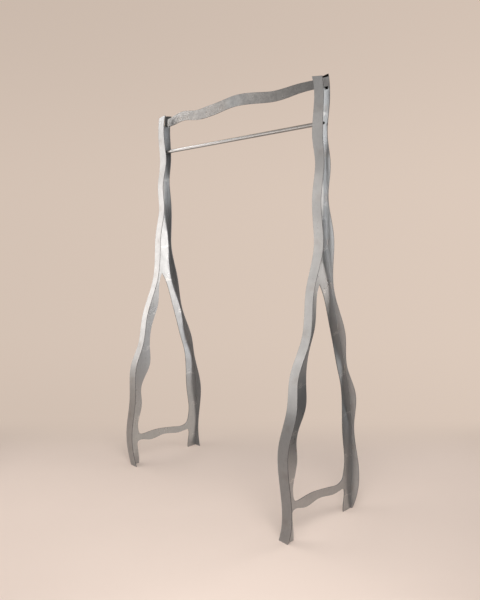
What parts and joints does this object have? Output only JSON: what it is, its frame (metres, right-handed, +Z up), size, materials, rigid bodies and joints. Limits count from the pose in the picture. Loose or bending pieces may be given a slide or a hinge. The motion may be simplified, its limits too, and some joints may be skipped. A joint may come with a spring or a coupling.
{
  "type": "clothes rack",
  "caption": "Free-standing clothes rack of raw sheet metal: wavy wishbone end frames edged with snaking ribbons, joined by a wavy top beam and a round hanging rod.",
  "frame": {"origin": "on the floor, in the middle of the rack's width and depth", "axes": "+X along the hanging rod, -Y towards the front, +Z up"},
  "size_m": [1.0458, 0.4168, 1.7048],
  "materials": {
    "plate_metal": "raw rolled sheet, satin, with fine lengthwise streaks",
    "ribbon_metal": "raw rolled sheet, satin, with fine lengthwise streaks",
    "beam_metal": "raw rolled sheet, satin, mottled",
    "rod_metal": "drawn bar, satin",
    "screw_steel": "blackened",
    "weld_metal": "as welded, rippled"
  },
  "bodies": {
    "root": {"left_end_plate": "plate_metal", "right_end_plate": "plate_metal", "left_front_ribbon": "ribbon_metal", "right_front_ribbon": "ribbon_metal", "left_rear_ribbon": "ribbon_metal", "right_rear_ribbon": "ribbon_metal", "top_beam": "beam_metal", "hanging_rod": "rod_metal", "left_rod_screw": "screw_steel", "right_rod_screw": "screw_steel", "left_front_welds": "weld_metal", "right_front_welds": "weld_metal", "left_rear_welds": "weld_metal", "right_rear_welds": "weld_metal", "left_beam_weld": "weld_metal", "right_beam_weld": "weld_metal"}
  },
  "joints": []
}
